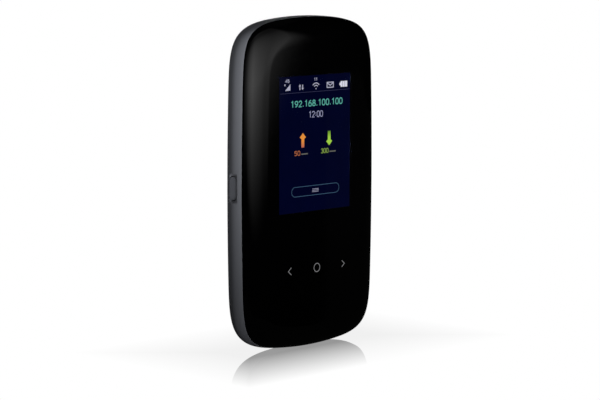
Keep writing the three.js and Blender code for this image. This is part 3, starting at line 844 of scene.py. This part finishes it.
def display_image():
    screen_x = SCREEN_W / 2 / MM
    low = (SCREEN_Z - SCREEN_H / 2) / MM
    high = (SCREEN_Z + SCREEN_H / 2) / MM
    back = Ink(IMAGE_DEPTH + 0.05 * MM)
    back.rect(-screen_x, low, screen_x, high)
    back.piece("display_field", lit("display_navy", linear(1, 4, 36), drift=0.3))
    status_row()

    teal = Ink()
    teal.digits("192.168.100.100", -11.5, 25.7, (1.3, 1.95), 1.86, 0.35)
    teal.piece("display_address", lit("display_teal", linear(92, 176, 160)))
    clock = Ink()
    clock.digits("12:00", -3.0, 21.95, (1.15, 1.95), 1.55, 0.28)
    clock.piece("display_clock", lit("display_clock_white", linear(150, 152, 182)))

    orange = lit("display_orange", linear(196, 104, 84), linear(240, 150, 62), (12.2, 14.6))
    arrow(-5.88, 16.95, 12.2, "display_up", orange)
    green = lit("display_green", linear(168, 218, 74), linear(96, 140, 44), (14.8, 16.9))
    arrow(6.8, 12.1, 16.9, "display_down", green)
    up = Ink()
    up.digits("50", -9.75, 9.7, (1.05, 1.45), 1.45, 0.3)
    up.piece("display_up_rate", lit("display_rate_orange", linear(168, 96, 62)))
    down = Ink()
    down.digits("300", 2.9, 9.7, (0.95, 1.45), 1.25, 0.28)
    down.piece("display_down_rate", lit("display_rate_green", linear(128, 156, 70)))
    units = Ink()
    units.rect(-6.6, 9.8, -3.5, 10.2)
    units.rect(6.95, 9.8, 10.0, 10.2)
    units.piece("display_units", lit("display_unit_grey", linear(104, 104, 96)))

    blue = Ink()
    blue.stroke(pill(0.27, -2.4, 22.95, 3.35), pill(0.27, -2.4, 22.6, 3.0))
    blue.piece("display_pill", lit("display_blue", linear(62, 92, 116)))
    menu = Ink()
    for i in range(3):
        menu.rect(-1.3, -3.0 + 0.46 * i, 1.8, -2.8 + 0.46 * i)
    menu.piece("display_menu", lit("display_menu_white", linear(150, 150, 172)))


display_image()


# ---- touch-key marks --------------------------------------------------------------------
def key_marks():
    """Thin printed marks over the touch keys, flush with the gloss front."""
    print_depth = INK_T * 0.6
    glow = lit("key_print", linear(126, 126, 128), drift=0.15)
    z = KEY_Z / MM
    line = 0.24
    ring = Ink(print_depth)
    outer, inner = (round_points(0.8, z, radius, 0, 360, 48)[:-1] for radius in (1.53, 1.53 - line))
    ring.stroke(outer, inner)
    left = Ink(print_depth)
    left.line([(-11.45, z + 1.22), (-12.85, z), (-11.45, z - 1.22)], line)
    right = Ink(print_depth)
    right.line([(13.0, z + 1.1), (14.25, z), (13.0, z - 1.1)], line)
    for side, mark in (("center", ring), ("left", left), ("right", right)):
        made = add_mesh(f"key_mark_{side}", mark.verts, mark.faces, glow)


key_marks()


# ---- camera -----------------------------------------------------------------------------
YAW, PITCH, ROLL = (math.radians(turn) for turn in (46.45, 6.55, 0.2))
DISTANCE = 0.801
AHEAD = Vector((math.sin(YAW) * math.cos(PITCH), math.cos(YAW) * math.cos(PITCH), -math.sin(PITCH)))
EYE = scene_point(0, 0, 0) - AHEAD * DISTANCE


def photo_camera():
    """Looks from the front left, a little from above; its shift centres the object."""
    data = bpy.data.cameras.new("photo_camera")
    data.sensor_width = 36
    data.lens = 144.6
    data.shift_x = -0.0259
    data.shift_y = -0.0286
    data.clip_start = 0.01
    camera = bpy.data.objects.new("photo_camera", data)
    camera.location = EYE
    camera.rotation_mode = "QUATERNION"
    camera.rotation_quaternion = AHEAD.to_track_quat("-Z", "Y") @ Quaternion((0, 0, 1), ROLL)
    bpy.context.scene.collection.objects.link(camera)
    bpy.context.scene.camera = camera


photo_camera()


# ---- studio -----------------------------------------------------------------------------
def world_light():
    """White behind everything for the camera; nearly dark for light and reflections."""
    world = bpy.data.worlds.new("studio")
    bpy.context.scene.world = world
    world.use_nodes = True
    nodes, links = world.node_tree.nodes, world.node_tree.links
    nodes.clear()
    ray = nodes.new("ShaderNodeLightPath")
    dim = map_range(nodes, links, ray.outputs["Is Camera Ray"], 0, 1, 0.008, 1.0)
    glow = nodes.new("ShaderNodeBackground")
    glow.inputs["Color"].default_value = (1, 1, 1, 1)
    links.new(dim, glow.inputs["Strength"])
    out = nodes.new("ShaderNodeOutputWorld")
    links.new(glow.outputs[0], out.inputs["Surface"])


def aim(light, place, target):
    """Puts a light in the scene that shows in no reflection."""
    light.location = place
    light.rotation_mode = "QUATERNION"
    light.rotation_quaternion = (Vector(target) - Vector(place)).to_track_quat("-Z", "Y")
    light.visible_glossy = False
    light.visible_camera = False
    bpy.context.scene.collection.objects.link(light)


def area_light(name, place, target, size, power):
    data = bpy.data.lights.new(name, "AREA")
    data.shape = "RECTANGLE"
    data.size, data.size_y = size
    data.energy = power
    aim(bpy.data.objects.new(name, data), place, target)


def spot(name, place, target, half_angle, radius, power):
    data = bpy.data.lights.new(name, "SPOT")
    data.spot_size = 2 * math.radians(half_angle)
    data.spot_blend = 1.0
    data.shadow_soft_size = radius
    data.energy = power
    aim(bpy.data.objects.new(name, data), place, target)


def sheet_of_light(name, verts, material):
    """A card that only reflections see."""
    mesh = bpy.data.meshes.new(name)
    mesh.from_pydata(verts, [], [tuple(range(len(verts)))])
    mesh.materials.append(material)
    card = bpy.data.objects.new(name, mesh)
    bpy.context.scene.collection.objects.link(card)
    card.visible_camera = False
    card.visible_diffuse = False
    card.visible_shadow = False
    card.visible_transmission = False
    return card


def glow_material(name, strength=1.0):
    material, nodes, links, shader = new_material(name)
    nodes.remove(shader)
    glow = nodes.new("ShaderNodeEmission")
    glow.inputs["Strength"].default_value = strength
    links.new(glow.outputs[0], nodes["Material Output"].inputs["Surface"])
    return material, nodes, links, glow


def backdrop(receiver):
    """What the floor mirrors beside and above the object."""
    material = glow_material("backdrop_white", 1.02)[0]
    far = 1.2
    verts = [(-far, far, -0.02), (far, far, -0.02), (far, far, 1.4), (-far, far, 1.4)]
    back = sheet_of_light("backdrop", verts, material)
    verts = [(far, far, -0.02), (far, -far, -0.02), (far, -far, 1.4), (far, far, 1.4)]
    side = sheet_of_light("backdrop_side", verts, material)
    only = bpy.data.collections.new("floor_only")
    only.objects.link(receiver)
    for card in (back, side):
        card.light_linking.receiver_collection = only


CARD_Y = -0.5
CARD_SCALE = 1 + (FRONT_Y - CARD_Y) / (FRONT_Y - EYE.y)
CARD_GLOW = 1.42


def gloss_card():
    """A bright card with soft edges, whose reflection fades across the top left of the gloss front."""
    material, nodes, links, glow = glow_material("card_fade")

    def seen(x, z):
        """The card's x and z that the photo's camera sees mirrored at a point on the front."""
        return (EYE.x + CARD_SCALE * (x * MM - EYE.x), EYE.z + CARD_SCALE * (z * MM - EYE.z))

    corner, along, down = seen(-29.0, 104), seen(-1.0, 104), seen(-29.0, 47)
    x, y, z = object_xyz(nodes, links)
    around = maths(nodes, links, "SUBTRACT", x, maths(nodes, links, "SUBTRACT", y, CARD_Y))
    across = map_range(nodes, links, x, corner[0], along[0], 0.0, 1.0)
    below = map_range(nodes, links, z, corner[1], down[1], 0.0, 1.0)
    inside = maths(nodes, links, "SUBTRACT", 1.0, maths(nodes, links, "ADD", across, below), clamp=True)
    left = map_range(nodes, links, around, -1.45, -0.15, 0.12, 1.0)
    above = map_range(nodes, links, z, 0.55, 0.07, 0.35, 1.0)
    turned = map_range(nodes, links, around, 0.34, -0.12, 0.61, 1.0)
    edges = maths(nodes, links, "MULTIPLY", maths(nodes, links, "MULTIPLY", left, above), turned)
    level = maths(nodes, links, "POWER", maths(nodes, links, "MULTIPLY", inside, edges), 1.9)
    links.new(maths(nodes, links, "MULTIPLY", level, CARD_GLOW), glow.inputs["Strength"])
    low, high, wing = -0.15, 0.9, -0.75
    for name, near, far in (
        ("gloss_card", (seen(5, 0)[0], CARD_Y), (wing, CARD_Y)),
        ("gloss_card_wing", (wing, CARD_Y), (wing, 0.2)),
    ):
        sheet_of_light(name, [(*near, low), (*far, low), (*far, high), (*near, high)], material)


def mix_shaders(nodes, links, factor, first, second):
    mix = nodes.new("ShaderNodeMixShader")
    for socket, value in zip(mix.inputs, (factor, first, second)):
        links.new(value, socket)
    return mix.outputs[0]


def floor():
    """White floor that mirrors the object close to it; from below it is clear."""
    half = 3.0
    mesh = bpy.data.meshes.new("floor")
    mesh.from_pydata([(x, y, 0) for x, y in corners(-half, -half, half, half)], [], [(0, 1, 2, 3)])
    obj = bpy.data.objects.new("floor", mesh)
    bpy.context.scene.collection.objects.link(obj)
    material, nodes, links, shader = new_material("floor_white")
    nodes.remove(shader)
    beyond = []
    for place, half_side in zip(object_xyz(nodes, links), (HALF_W, DEPTH / 2)):
        reach = maths(nodes, links, "ABSOLUTE", place, 0.0)
        beyond.append(maths(nodes, links, "SUBTRACT", reach, half_side))
    distance = maths(nodes, links, "MAXIMUM", *beyond)
    fade = map_range(nodes, links, distance, 0.0, 0.0345, 1.7, 0.0)
    edge = nodes.new("ShaderNodeFresnel")
    edge.inputs["IOR"].default_value = 1.8
    amount = maths(nodes, links, "MULTIPLY", fade, edge.outputs[0], clamp=True)
    glow = nodes.new("ShaderNodeEmission")
    glow.inputs["Strength"].default_value = 1.0
    mirror = nodes.new("ShaderNodeBsdfGlossy")
    mirror.inputs["Roughness"].default_value = 0.01
    clear = nodes.new("ShaderNodeBsdfTransparent")
    side = nodes.new("ShaderNodeNewGeometry")
    top = mix_shaders(nodes, links, amount, glow.outputs[0], mirror.outputs[0])
    both = mix_shaders(nodes, links, side.outputs["Backfacing"], top, clear.outputs[0])
    links.new(both, nodes["Material Output"].inputs["Surface"])
    mesh.materials.append(material)
    obj.visible_glossy = False
    obj.visible_diffuse = False
    obj.visible_transmission = False
    obj.visible_shadow = False
    return obj


world_light()
backdrop(floor())
gloss_card()
spot("key", (-0.13, -0.49, -0.03), (-0.03, 0, 0.15), 17.0, 0.05, 39.5)
spot("left_fill", (-0.39, -0.18, 0.07), (-0.03, 0, 0.14), 23, 0.05, 4.9)
area_light("back_fill", (0.75, 0.7, 0.35), (0, 0, 0.055), (0.35, 0.9), 26.0)
bpy.context.scene.view_settings.view_transform = "Standard"
